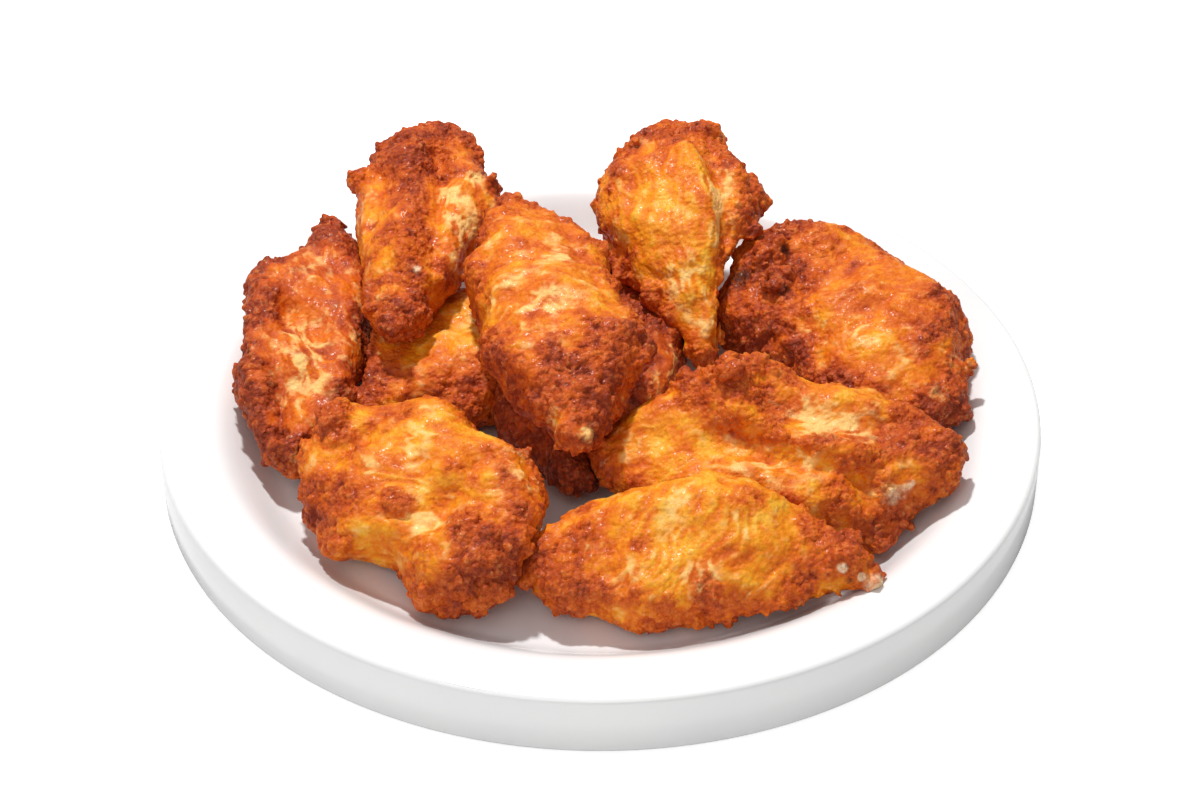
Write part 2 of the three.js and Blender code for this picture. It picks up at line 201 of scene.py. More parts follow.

# %% [markdown]
# ## How each piece was fried
#
# A wing browns most where it is thin or sticks out: at the ends, along the edges and on its ridges.
# Broad skin stays golden, and skin that is stretched over fat stays pale. Each entry below is one
# such spot: along, across and up on the piece, then its reach in millimetres and its strength.
# Char and bone are spots of the same kind; the char spots also paint shadow into the dark gaps deep in
# the heap. In a swell the last number is a height in millimetres, and a negative one makes a dent.
# Clumps of crust have a radius and a number of smaller lumps round them.
# A fold is a line between two places, with a width and a height, and a negative height is a groove.
# Two numbers hold for a whole piece: streaks is the direction of its stretched skin in degrees, and
# tone makes all of it browner, or lighter where it is negative.

# %% The spots, clumps and folds of the ten pieces
FRYING = {
    "wing_front": {
        "seed": 1, "streaks": 70, "tone": -0.02,
        "brown": [(-0.95, -0.3, 0.2, 9, 0.25), (-0.68, -0.1, 0.7, 7, 0.22), (-0.65, -0.7, 0.3, 8, 0.2),
                  (0.7, 0.1, 0.7, 9, 0.28), (0.9, 0.3, 0.4, 8, 0.2), (0.5, -0.7, 0.5, 7, 0.15),
                  (-0.28, -0.1, 0.9, 3.5, 0.25), (0.12, -0.25, 0.9, 2.5, 0.22), (0.05, 0.3, 0.9, 3, 0.15),
                  (-0.1, -0.95, 0.1, 7, 0.12), (-0.5, -0.6, 0.6, 8, 0.15), (0.1, -0.8, 0.5, 8, 0.12)],
        "gold": [(0, 0.7, 0.9, 16, 0.3), (0.25, -0.3, 0.9, 9, 0.25), (-0.35, 0.35, 0.9, 10, 0.25),
                 (-0.3, -0.5, 0.8, 8, 0.2)],
        "pale": [(0, -0.5, 1, 4.5, 0.7), (-0.4, -0.45, 0.8, 4, 0.6), (-0.15, 0.1, 0.9, 3.5, 0.5),
                 (0.2, 0.2, 1, 3.5, 0.5), (0.3, -0.55, 0.8, 3.5, 0.5), (-0.1, 0.5, 0.9, 4, 0.4)],
        "swell": [(0.45, -0.95, -0.2, 11, -4), (-0.3, -1, 0, 10, 1), (-0.65, -1, 0, 8, 2.5),
                  (0.75, -0.6, 0.2, 5, -2)],
        "bone": [(0.97, -0.45, 0.2, 3.2, 1), (0.75, -0.22, 0.6, 1.3, 1.4), (0.86, -0.3, 0.5, 1, 1.4)],
        "char_and_painted_shadow": [(0.8, -0.4, 0.5, 1.5, 0.8)],
        "clumps": [(-0.3, -1, -0.1, 2.2, 4), (0.05, -1, -0.1, 2, 4), (0.15, -1, 0, 1.6, 3),
                   (0.5, -0.7, 0.2, 2, 4), (0.75, 0, 0.6, 3.2, 8), (0.85, 0.4, 0.3, 3, 6),
                   (-0.95, -0.4, 0, 2.6, 6), (0.7, -0.5, 0.3, 2.2, 4), (0.97, -0.45, 0.2, 2.6, 5)],
        "folds": [((-0.5, 0.5, 0.8), (0.5, 0.6, 0.8), 3, 0.5),
                  ((0.45, 0.4, 0.8), (0.6, -0.6, 0.6), 3, -1.2),
                  ((-0.55, 0.3, 0.8), (-0.5, -0.5, 0.7), 3, -0.8)],
    },
    "wing_middle_right": {
        "seed": 2, "streaks": 10, "tone": -0.02,
        "brown": [(-0.2, 0.75, 0.9, 10, 0.3), (-0.45, 0.5, 0.7, 7, 0.25), (0, 0.15, 0.8, 5, 0.4),
                  (0.25, 0, 0.8, 4.5, 0.5), (0.45, -0.1, 0.8, 4, 0.4), (0.7, 0.2, 0.6, 9, 0.25),
                  (0.95, 0, 0.3, 9, 0.2), (0.65, -0.95, 0.1, 8, 0.3), (0.4, -0.55, 0.7, 6, 0.25),
                  (-0.95, -0.2, 0, 5, 0.15), (-0.3, -0.75, 0.6, 5, 0.2)],
        "gold": [(-0.5, -0.1, 0.7, 11, 0.3), (-0.1, -0.35, 0.8, 9, 0.3), (0.3, 0.35, 0.8, 8, 0.35),
                 (0.55, -0.4, 0.7, 5, 0.15)],
        "pale": [(0.2, 0.33, 0.8, 5, 0.8), (0.36, 0.27, 0.8, 5, 0.8), (0.52, 0.2, 0.8, 4.5, 0.7),
                 (0.05, 0.4, 0.8, 4, 0.6),
                 (-0.2, -0.2, 0.8, 4, 0.8), (0, -0.25, 0.8, 4, 0.6), (0.2, -0.25, 0.8, 3.5, 0.6),
                 (-0.75, -0.2, 0.5, 4, 0.5), (0.7, -0.5, 0.6, 4, 1)],
        "swell": [(0.9, -0.9, 0, 9, -3.5), (0.6, -1, 0, 4, 1.5), (0.85, -0.4, 0.4, 4, -2.5)],
        "bone": [(0.7, -0.5, 0.6, 3, 1.3), (0.78, -0.4, 0.6, 2.4, 1.3), (0.62, -0.58, 0.6, 2, 1),
                 (-0.92, -0.3, 0.3, 2, 0.6)],
        "clumps": [(-0.25, 0.7, 0.8, 3.4, 9), (-0.1, 0.8, 0.7, 3, 7), (0.65, -0.9, 0, 3.4, 7),
                   (0.95, 0.2, 0.2, 2.6, 6), (-0.45, 0.6, 0.6, 2.6, 6), (0.8, -0.7, 0, 2.4, 5)],
        "folds": [((-0.2, 0.15, 0.8), (0.5, -0.08, 0.8), 3.2, 3.2),
                  ((0, 0.45, 0.8), (0.6, 0.2, 0.8), 4, -2.6),
                  ((-0.35, -0.12, 0.8), (0.45, -0.3, 0.8), 3, -1.6),
                  ((-0.8, 0.25, 0.5), (-0.2, 0.45, 0.8), 5, 1.4),
                  ((0.5, -0.3, 0.7), (0.6, -0.8, 0.4), 3, -1.6)],
    },
    "wing_front_left": {
        "seed": 3, "streaks": 20, "tone": -0.02,
        "brown": [(-0.75, 0.1, 0.8, 6, 0.2), (-0.5, -0.85, 0.4, 9, 0.3), (-0.3, -0.6, 0.8, 5, 0.25),
                  (0.6, -0.2, 0.9, 8, 0.28), (0.9, -0.3, 0.6, 10, 0.3), (0.1, -0.35, 0.9, 4, 0.28),
                  (0.5, 0.95, 0.3, 6, 0.2), (0.9, -0.6, -0.2, 8, 0.25), (-0.4, 0.5, 0.8, 5, 0.2),
                  (0.25, 0.3, 0.9, 3, 0.15)],
        "gold": [(0, -0.85, 0.4, 9, 0.3), (0.2, 0, 0.9, 9, 0.2), (0, 0.6, 0.8, 11, 0.3),
                 (-0.62, 0.2, 0.8, 3, 0.4), (-0.25, 0, 0.8, 8, 0.25)],
        "pale": [(-0.1, 0.3, 0.9, 5, 1.1), (-0.05, 0.1, 0.8, 4, 0.7), (0.6, 0.7, 0.5, 5, 0.8),
                 (0.35, -0.35, 0.8, 4.5, 1.1), (-0.25, -0.2, 0.9, 3.5, 0.6), (0.1, -0.85, 0.4, 3, 0.5)],
        "char_and_painted_shadow": [(0.16, -0.5, 0.9, 1.3, 0.9), (0.95, 0.5, 0.2, 3, 0.45)],
        "swell": [(0.2, -1, 0, 7, -2.5), (-0.3, -1, 0, 7, 1.5), (-0.45, 0.1, 0.8, 3, -1.5),
                  (0.6, -1, 0, 5, 1)],
        "clumps": [(-0.8, 0.2, 0.6, 3.6, 9), (-0.6, -0.9, 0.2, 3.2, 8), (0.9, -0.5, 0, 3.6, 9),
                   (0.8, -0.85, -0.3, 3.2, 7), (0.9, 0, 0.5, 3, 8), (-0.2, -1, 0, 2.4, 6),
                   (-0.95, -0.3, 0.3, 2.8, 6), (0.6, -0.2, 0.9, 2.2, 6), (0.95, -0.9, -0.2, 2.4, 6)],
        "folds": [((-0.4, -0.1, 0.9), (0.4, 0.2, 0.9), 4, 0.9),
                  ((0.1, -0.5, 0.9), (0.2, -0.42, 0.9), 1.3, -2),
                  ((-0.5, 0.6, 0.8), (-0.55, -0.3, 0.8), 2.5, -2.2),
                  ((0.35, 0.5, 0.8), (0.4, -0.8, 0.6), 3, -1.6),
                  ((0, 0.2, 0.9), (-0.05, 0.6, 0.8), 1.2, -1),
                  ((0.4, 0.9, 0.4), (0.8, 0.5, 0.5), 2.5, -1.5)],
    },
    "wing_left": {
        "seed": 4, "streaks": 20, "tone": 0.34,
        "brown": [(0, 0.85, 0.8, 7, 0.3), (-0.4, 0.85, 0.6, 7, 0.3), (-0.75, 0.7, 0.5, 7, 0.25),
                  (-0.55, -0.75, 0.7, 6, 0.4), (0.9, 0, 0.8, 8, 0.35), (0.4, 0.8, 0.7, 7, 0.25),
                  (-0.9, 0, 0.4, 5, 0.25), (0.1, -0.9, 0.6, 6, 0.2), (-0.25, -0.25, 0.9, 3, 0.2)],
        "gold": [(0.3, 0.1, 0.9, 12, 0.35), (-0.75, 0.5, 0.5, 3, 0.3), (-0.35, 0.05, 0.8, 11, 0.35),
                 (0.05, 0, 0.9, 9, 0.2)],
        "pale": [(-0.1, 0.2, 0.9, 6, 0.6), (-0.35, 0.1, 0.8, 6, 0.8), (-0.6, 0, 0.7, 6, 0.6),
                 (0.55, 0.2, 0.9, 5, 0.35), (-0.05, -0.6, 0.8, 5, 0.3), (-0.95, -0.1, 0.3, 3, 0.5)],
        "swell": [(0.4, 1, 0.4, 6, 3), (-0.3, 1, 0.3, 9, 1.5), (-0.8, 0.9, 0.2, 6, 1.5),
                  (0.9, 0.8, 0.4, 8, -4), (0, -1, 0.5, 6, -1)],
        "clumps": [(0.95, -0.1, 0.6, 3, 7), (0.45, 0.95, 0.5, 2.6, 6), (-0.3, 0.95, 0.4, 2.6, 6),
                   (-0.95, 0.4, 0.3, 3, 7), (-0.5, -0.85, 0.5, 2.8, 7), (0, 0.95, 0.4, 2.2, 5)],
        "folds": [((0.25, 0.85, 0.7), (-0.75, 0.7, 0.5), 4, 3),
                  ((0.15, 0.5, 0.9), (-0.85, 0.35, 0.5), 3, -4),
                  ((0.4, -0.4, 0.9), (-0.4, -0.65, 0.8), 4, 1),
                  ((0, -0.1, 0.9), (-0.6, -0.25, 0.7), 4, -1.2)],
    },
    "wing_back_left": {
        "seed": 5, "streaks": 10, "tone": 0.1,
        "brown": [(0.1, 0.25, 0.9, 6, 0.35), (-0.3, 0.15, 0.8, 6, 0.35), (-0.65, 0, 0.7, 6, 0.2),
                  (0.7, 0.2, 0.9, 11, 0.3), (0.45, 0, 0.9, 7, 0.25), (0.5, 0.7, 0.9, 7, 0.25),
                  (-0.9, 0, 0.3, 8, 0.2), (0.4, -0.9, 0.5, 5, 0.15), (-0.8, 0.6, 0.2, 7, 0.2)],
        "gold": [(0, 0.8, 0.8, 7, 0.5), (0.05, -0.5, 0.8, 9, 0.3)],
        "pale": [(0.1, -0.4, 0.9, 5, 1), (-0.15, -0.55, 0.6, 5, 0.9), (-0.05, 0.9, 0.6, 4, 0.6),
                 (0.3, -0.6, 0.7, 4, 0.6), (-0.4, -0.75, 0.4, 4, 0.7), (-0.75, 0.35, 0.4, 3, 0.4)],
        "swell": [(0.95, 0.7, 0.6, 8, -4), (0.9, -0.4, 0.6, 6, 2), (0.35, 1, 0.5, 3.5, 2.5),
                  (-0.75, -1, 0, 8, -3.5), (-0.5, -0.6, 0.4, 4, -1.5)],
        "bone": [(-0.6, -0.1, 0.7, 1.3, 1), (-0.72, -0.3, 0.5, 1, 0.9)],
        "clumps": [(0.85, 0.1, 0.7, 3.4, 9), (0.75, -0.3, 0.8, 3.4, 9), (0.95, -0.3, 0.3, 3.4, 8),
                   (0.4, -0.95, 0.5, 2.6, 7), (0.55, 0.8, 0.6, 2.8, 7), (-0.9, 0.1, 0.2, 3.2, 9),
                   (-0.8, -0.4, 0.1, 2.6, 7), (-0.75, 0.5, 0.3, 2.8, 6), (0.35, 0.95, 0.5, 1.8, 5)],
        "folds": [((0.6, 0.3, 0.9), (-0.5, 0.1, 0.8), 4, 2.2),
                  ((0.5, -0.1, 0.9), (-0.5, -0.3, 0.7), 3, -3),
                  ((0.3, 0.65, 0.8), (-0.3, 0.55, 0.7), 3, -1.6)],
    },
    "wing_top": {
        "seed": 6, "streaks": 75, "tone": 0.1,
        "brown": [(-0.62, 0.1, 0.7, 12, 0.28), (-0.5, -0.6, 0.7, 8, 0.2), (-0.3, 0.95, 0.4, 8, 0.25),
                  (0.9, 0.5, 0.5, 7, 0.15), (-0.8, 0.9, 0.2, 8, 0.15), (0.3, -0.95, 0.6, 7, 0.2),
                  (-0.95, -0.2, 0.1, 7, 0.25), (0.35, 0.6, 0.8, 4, 0.15)],
        "gold": [(-0.1, 0.2, 0.9, 13, 0.3), (0.45, 0.1, 0.9, 12, 0.25), (-0.1, -0.5, 0.9, 8, 0.1)],
        "pale": [(-0.15, 0.2, 0.9, 6, 0.7), (0.05, 0.5, 0.8, 5, 0.4), (-0.87, 0.45, 0.3, 3, 0.8),
                 (-0.95, 0.1, 0.2, 2.5, 0.8), (0.2, -0.2, 0.9, 4, 0.6), (0.5, 0.5, 0.9, 4, 0.4)],
        "swell": [(0.9, -0.9, 0.3, 7, -2)],
        "clumps": [(-0.95, 0.2, 0.1, 3.2, 9), (-0.9, -0.4, 0.1, 3, 7), (-0.7, 0.7, 0.1, 3, 7),
                   (-0.5, -0.9, 0.3, 3, 7), (0.9, 0.1, 0.5, 2, 6), (0.1, -1, 0.4, 2.2, 5),
                   (-0.75, -0.1, 0.5, 2.4, 6), (0.4, -0.95, 0.5, 2, 5)],
        "folds": [((0.7, 0.2, 0.8), (-0.4, 0.1, 0.8), 6, 1),
                  ((-0.35, 0.8, 0.7), (-0.75, -0.6, 0.5), 3, 1),
                  ((0.6, -0.45, 0.8), (-0.3, -0.6, 0.8), 3, -1.2),
                  ((0.4, 0.7, 0.7), (0.1, 0.85, 0.5), 2.5, -1.2)],
    },
    "drumette_back": {
        "seed": 7, "streaks": 5,
        "brown": [(0.2, -0.85, 0.7, 9, 0.35), (0.9, -0.1, 0.6, 8, 0.15), (0.5, 0.95, 0.3, 8, 0.2),
                  (-0.55, 0.6, 0.1, 8, 0.35), (-0.3, -0.85, 0.4, 8, 0.35), (-0.95, -0.3, 0.2, 6, 0.2),
                  (0.9, 0.6, 0.5, 8, 0.15), (-0.12, 0.9, 0, 9, 0.35), (0.6, -0.6, 0.8, 6, 0.2)],
        "gold": [(0.2, 0.4, 0.8, 14, 0.35), (-0.3, 0.2, 0.7, 10, 0.3), (-0.75, 0, 0.5, 8, 0.25)],
        "pale": [(-0.45, 0.2, 0.7, 5, 0.9), (0.1, -0.35, 0.9, 5, 1), (0.3, -0.4, 0.9, 4.5, 0.7),
                 (-0.1, -0.4, 0.8, 4, 0.7), (-0.8, 0.1, 0.5, 4, 0.6), (0.7, 0.3, 0.8, 4, 0.3)],
        "swell": [(-0.45, -0.9, 0, 10, -4), (0.35, -1, 0.3, 7, -1), (0.95, -0.6, 0.5, 5, 3.5),
                  (0.4, 0.95, 0.3, 6, 1.5), (-0.8, -0.8, 0, 8, -4), (0.65, -0.95, 0.4, 4, -2.5)],
        "clumps": [(0.25, -0.95, 0.5, 3.2, 9), (0.4, -0.95, 0.4, 2.8, 7), (0.95, -0.5, 0.5, 2.8, 8),
                   (0.85, 0.4, 0.7, 2.4, 6), (-0.05, -0.85, 0.4, 2.8, 7), (-0.5, 0.7, 0, 3.4, 9),
                   (-0.65, 0.4, 0.1, 2.6, 6), (0, 0.95, -0.3, 3.4, 9), (-0.25, 0.95, -0.3, 3.4, 9)],
        "folds": [((0.55, -0.05, 0.9), (-0.2, -0.2, 0.8), 4, 1.8),
                  ((0.5, -0.35, 0.9), (-0.15, -0.5, 0.8), 3.5, -3),
                  ((-0.4, 0.5, 0.5), (-0.55, -0.3, 0.5), 2, -1.8),
                  ((0.7, 0.6, 0.8), (0.6, -0.2, 0.9), 2.5, -1)],
    },
    "wing_right": {
        "seed": 8, "streaks": 60, "tone": 0.14,
        "brown": [(0.5, 0.2, 0.9, 11, 0.4), (0.25, 0.9, 0.3, 9, 0.4), (-0.4, 0.8, 0.8, 7, 0.3),
                  (-0.5, -0.5, 0.8, 6, 0.2), (-0.95, 0, 0, 9, 0.3), (0, -0.95, 0.5, 8, 0.15),
                  (0.7, -0.3, 0.8, 8, 0.3), (-0.05, 0.6, 0.8, 5, 0.25), (-0.3, -0.1, 0.9, 3, 0.2)],
        "gold": [(-0.35, 0.2, 0.9, 9, 0.55), (-0.7, 0.3, 0.9, 7, 0.3), (0, -0.5, 0.8, 11, 0.25),
                 (0.05, 0.05, 0.9, 6, 0.2), (0.35, -0.75, 0.6, 5, 0.25)],
        "pale": [(-0.3, 0.25, 0.9, 3.5, 0.8), (-0.75, -0.3, 0.7, 5, 0.6), (-0.55, 0.3, 0.9, 4, 0.5),
                 (-0.85, 0.2, 0.5, 3, 0.5)],
        "char_and_painted_shadow": [(0.55, 0, 0.9, 2.6, 1), (0.4, 0.4, 0.9, 3, 0.9), (0.62, 0.4, 0.6, 4.5, 0.8),
                 (0.3, 0.35, 0.9, 2, 0.7)],
        "swell": [(-0.3, -1, 0.2, 9, -2.5), (-0.9, -0.6, 0, 8, -1.5), (0.3, -0.95, 0.3, 8, -1.5),
                  (1, 0.4, 0, 10, -6.5), (0.5, 1, -0.2, 7, -3)],
        "clumps": [(0.6, 0.1, 0.8, 3.6, 10), (0.4, 0.3, 0.8, 3.2, 9), (0.2, 0.95, 0.3, 3.6, 9),
                   (0.4, 0.8, 0.1, 3.4, 8), (-0.95, 0.1, 0, 3, 8), (-0.9, -0.5, 0.2, 2.6, 7),
                   (-0.98, 0.4, -0.2, 2.6, 6)],
        "folds": [((0.2, 0.2, 0.9), (-0.15, 0.7, 0.8), 3, -2),
                  ((0, -0.25, 0.9), (-0.7, -0.3, 0.8), 4, 1.2),
                  ((0.3, -0.5, 0.8), (0.15, 0, 0.9), 3, -1),
                  ((-0.75, -0.5, 0.7), (-0.85, 0.3, 0.5), 2.5, -1.5)],
    },
    "wing_inner_left": {
        "seed": 9, "streaks": 90, "tone": 0.06,
        "brown": [(-0.75, 0, 0.6, 8, 0.3), (-0.3, -0.9, 0.5, 7, 0.3), (0.1, -1, 0.3, 7, 0.25),
                  (-0.5, 0.9, 0.4, 8, 0.3)],
        "gold": [(-0.1, -0.1, 0.9, 13, 0.4), (0.3, -0.4, 0.8, 10, 0.35)],
        "pale": [(0.3, -0.35, 0.9, 6, 0.8), (-0.1, 0, 0.9, 4, 0.4), (0.5, -0.1, 0.8, 5, 0.5)],
        # Painted shadow: a dark spot low on the near side, where the gap deep in the heap is in shade.
        "char_and_painted_shadow": [(0.1, -1.2, -0.4, 8, 0.35)],
        "swell": [(0.9, -0.2, 0.5, 8, -4), (0.05, -1, -0.2, 9, 6), (0.4, -1, -0.2, 8, 4),
                  (-0.35, -1, -0.2, 8, 3)],
        "clumps": [(-0.9, 0, 0.3, 3, 7), (-0.4, -0.9, 0.2, 2.6, 6), (0.1, -1.1, -0.1, 4.4, 8),
                   (0.45, -1.1, -0.1, 4.2, 8), (-0.2, -1.1, -0.2, 4.2, 7)],
        "folds": [((0.1, -0.1, 0.9), (0.2, -0.8, 0.7), 1.3, -0.9),
                  ((0.25, -0.1, 0.9), (0.35, -0.8, 0.7), 1.3, -0.9),
                  ((0.4, -0.1, 0.9), (0.5, -0.8, 0.7), 1.3, -0.9),
                  ((0.55, 0, 0.9), (0.62, -0.6, 0.7), 1.3, -0.9)],
    },
    "wing_under": {
        "seed": 10, "streaks": 20, "tone": 0.28,
        "brown": [(0.4, -0.4, 0.8, 9, 0.4), (-0.9, 0, 0, 12, 0.4), (0.7, 0, 0.7, 9, 0.3),
                  (-0.5, -0.9, 0.3, 7, 0.3), (-0.1, 1, 0, 12, 0.3), (-0.6, 1, 0, 12, 0.3)],
        "gold": [(0, -0.8, 0.7, 7, 0.2)],
        "pale": [(0, -0.8, 0.7, 6, 0.8), (-0.25, -0.85, 0.6, 5, 0.5)],
        # Painted shadow: dark spots low on the end and side, where the gap deep in the heap is in shade.
        "char_and_painted_shadow": [(-0.95, -0.3, 0, 7, 0.5), (-0.9, 0.4, 0, 7, 0.5), (-0.5, 1, -0.2, 9, 0.5)],
        "swell": [(0.05, 1, -0.1, 9, 6), (-0.3, 1, -0.2, 9, 7), (-0.65, 0.9, -0.2, 9, 7),
                  (-0.95, 0.5, -0.2, 8, 4), (0.95, 0.2, 0.3, 9, 4)],
        "clumps": [(0.15, 1, 0, 4.6, 8), (-0.15, 1, 0, 4.6, 8), (-0.45, 0.95, -0.1, 4.6, 8),
                   (-0.75, 0.8, -0.2, 4.2, 8), (0.35, -0.7, 0.7, 3.2, 8),
                   (0.6, -0.6, 0.6, 3, 7), (-0.9, -0.2, 0, 3, 7),
                   (0.8, 0.2, 0.4, 3, 7)],
        "folds": [((0.1, -0.85, 0.6), (-0.4, -0.75, 0.6), 1.4, 1),
                  ((0, -0.95, 0.3), (-0.4, -0.9, 0.3), 1.4, 1)],
    },
}
print("spots in all:", sum(len(f["brown"]) + len(f["gold"]) + len(f["pale"]) for f in FRYING.values()))

# %% [markdown]
# ## Clumps of crust
#
# Batter gathers at the edges of a wing and fries into little cauliflowers. Each clump is one ball set
# into the skin with smaller balls round it. The balls are simply joined to the mesh, and a voxel
# remesh then wraps everything in one skin, which also makes every face about the same size.

# %% Balls set into the skin
BALL_SINK = 0.35
SMALL_BALLS = (0.32, 0.62)
EDGE_CLUMPS, EDGE_BALLS = 16, 4
EDGE_REACH = 1.05
EDGE_RADII = (1.1, 1.9)


def add_ball(mesh, centre, radius, squash, turn):
    """One small ball, flattened a little and turned, joined to the mesh."""
    stretch = Matrix.Diagonal((1, 1, squash, 1))
    matrix = Matrix.Translation(centre) @ Matrix.Rotation(turn, 4, Vector((1, turn, 2))) @ stretch
    bmesh.ops.create_icosphere(mesh, subdivisions=2, radius=radius, matrix=matrix)


def add_clump(mesh, node, place, radius, count, random):
    """A ball of crust at a place on a piece, with smaller ones round it."""
    outside = own_frames[node].world(place)
    spot, normal, _, _ = surfaces[node].find_nearest(outside)
    add_ball(mesh, spot - normal * radius * BALL_SINK, radius, random.uniform(0.7, 1), random.uniform(0, 3))
    for _ in range(count):
        step = Vector(random.normal(size=3))
        step -= normal * step.dot(normal) * random.uniform(0.4, 1)
        step = step.normalized() * radius * random.uniform(0.7, 1.5)
        small = radius * random.uniform(*SMALL_BALLS)
        near, there, _, _ = surfaces[node].find_nearest(spot + step + normal * radius * 0.3)
        middle = near + there * small * random.uniform(-0.1, 0.7)
        add_ball(mesh, middle, small, random.uniform(0.75, 1), step.x)


def edge_clumps(mesh, node, random):
    """Small clumps scattered round the edge, besides the ones in the list."""
    for angle in np.linspace(0, 2 * math.pi, EDGE_CLUMPS, endpoint=False) + random.uniform(0, 1):
        angle += random.uniform(-0.2, 0.2)
        place = (EDGE_REACH * math.cos(angle), EDGE_REACH * math.sin(angle), random.uniform(-0.4, 0.5))
        add_clump(mesh, node, place, random.uniform(*EDGE_RADII) * MM, EDGE_BALLS, random)


print("clumps in all:", sum(len(f["clumps"]) + EDGE_CLUMPS for f in FRYING.values()))


# %% [markdown]
# ## From solid to skin
#
# A modifier can be applied without the editor: the evaluated object has the modified mesh, and
# that mesh becomes the object's own. Remesh with voxels gives an even skin, and Smooth takes the
# facets off it.

# %% Modifiers, applied one after another


def new_object(name, mesh):
    """A bmesh as a new object in the scene."""
    data = bpy.data.meshes.new(name)
    mesh.to_mesh(data)
    mesh.free()
    made = bpy.data.objects.new(name, data)
    bpy.context.scene.collection.objects.link(made)
    return made


def applied(made, kind, **settings):
    """Adds one modifier with these settings and makes its result the object's mesh."""
    modifier = made.modifiers.new(kind.title(), kind)
    for name, value in settings.items():
        setattr(modifier, name, value)
    seen = made.evaluated_get(bpy.context.evaluated_depsgraph_get())
    result = bpy.data.meshes.new_from_object(seen)
    made.modifiers.clear()
    old, made.data = made.data, result
    result.name = made.name
    bpy.data.meshes.remove(old)


def points_of(made, what="co"):
    """Vertex places, or vertex normals, as an array with three columns."""
    flat = np.empty(len(made.data.vertices) * 3, dtype=np.float32)
    if what == "co":
        made.data.vertices.foreach_get("co", flat)
    else:
        made.data.vertex_normals.foreach_get("vector", flat)
    return flat.reshape(-1, 3).astype(float)


def move_points(made, points):
    """Puts the object's vertices at these places."""
    made.data.vertices.foreach_set("co", points.astype(np.float32).ravel())
    made.data.update()


# %% [markdown]
# ## Fields over the skin
#
# A field is one number for each point of the skin. The browning field starts higher at the edges and
# ends, and each spot raises or lowers it round its place. The pale field and the char field, which
# also holds painted shadow, are made the same way. The same browning number then drives the lumps
# and the colour, so dark places are also the rough ones, as on the real crust.

# %% Browning, pale skin, char with painted shadow, and folds
BASE_BROWN = 0.5
EDGE_BROWN = 0.2
EDGE_FROM, EDGE_TO = 0.66, 1.05
CRUST_FROM, CRUST_TO = 0.42, 0.7
WIDE_BLOTCH, WIDE_BLOTCH_BROWN = 9 * MM, 0.18
SMALL_BLOTCH, SMALL_BLOTCH_BROWN = 3.6 * MM, 0.2
FOLD_WANDER = 1.2 * MM
LOOK_ROUND, BOX_MARGIN = 10 * MM, 8 * MM


def spot_field(node, points, spots):
    """The sum of soft round spots at places on a piece."""
    field = np.zeros(len(points))
    for *place, reach, strength in spots:
        spot = np.array(surfaces[node].find_nearest(own_frames[node].world(place))[0])
        distance = np.linalg.norm(points - spot, axis=1) / (reach * MM)
        field += strength * np.exp(-(distance**2))
    return field


def fold_field(node, points, folds):
    """Heights of the ridges and grooves, in metres."""
    field = np.zeros(len(points))
    for start, end, width, height in folds:
        start = np.array(surfaces[node].find_nearest(own_frames[node].world(start))[0])
        end = np.array(surfaces[node].find_nearest(own_frames[node].world(end))[0])
        share = np.clip((points - start) @ (end - start) / ((end - start) @ (end - start)), 0, 1)
        wander = soft_noise(points, 14 * MM, 5)[:, None] * FOLD_WANDER
        distance = np.linalg.norm(points + wander - start - share[:, None] * (end - start), axis=1)
        field += height * MM * np.exp(-((distance / (width * MM)) ** 2))
    return field


def browning_field(node, points):
    """How hard each point was fried, from about 0 to 1."""
    frying = FRYING[node]
    seed = frying["seed"]
    local = own_frames[node].local(points)
    outward = (np.abs(local[:, 0]) ** 3 + np.abs(local[:, 1]) ** 3) ** (1 / 3)
    edge = smoothstep(EDGE_FROM, EDGE_TO, outward)
    below = smoothstep(0.1, -0.6, local[:, 2])
    field = BASE_BROWN + EDGE_BROWN * np.maximum(edge, 0.8 * below)
    field += spot_field(node, points, frying["brown"]) - spot_field(node, points, frying["gold"])
    field += WIDE_BLOTCH_BROWN * soft_noise(points, WIDE_BLOTCH, seed)
    field += SMALL_BLOTCH_BROWN * soft_noise(points, SMALL_BLOTCH, seed + 40)
    return field


def crust_share(node, points):
    """0 on bare skin and 1 on crust, with a short change between them."""
    field = browning_field(node, points) - 0.25 * spot_field(node, points, FRYING[node]["pale"])
    return smoothstep(CRUST_FROM, CRUST_TO, field)


def room_left(node, points):
    """How far each point is from every other solid, in metres."""
    distance = np.full(len(points), LOOK_ROUND)
    for other, surface in surfaces.items():
        if other == node:
            continue
        low, high = (np.array(corner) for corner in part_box(other))
        near = np.all((points > low - BOX_MARGIN) & (points < high + BOX_MARGIN), axis=1)
        for index in np.nonzero(near)[0]:
            found = surface.find_nearest(Vector(points[index]), LOOK_ROUND)
            if found[3] is not None:
                distance[index] = min(distance[index], found[3])
    return distance


tried = points_of(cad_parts["wing_front"])
print("crust on the front wing:", crust_share("wing_front", tried).mean().round(2))

# %% [markdown]
# ## Growing the crust
#
# The skin grows in three steps, from large to small: knobs of about four millimetres, then grains of
# two, then bubbles of one. After each step the normals are measured again, so that grains stick out
# of the sides of the knobs and not only upwards. Close to a neighbour's solid or the plate there is
# little room, so the crust hardly grows there. The room is measured to the solids, not to what the
# neighbour has grown, so crusts can meet. The pieces named under and inner left run into each other
# inside the heap: they are swollen to close a gap that would show the plate.

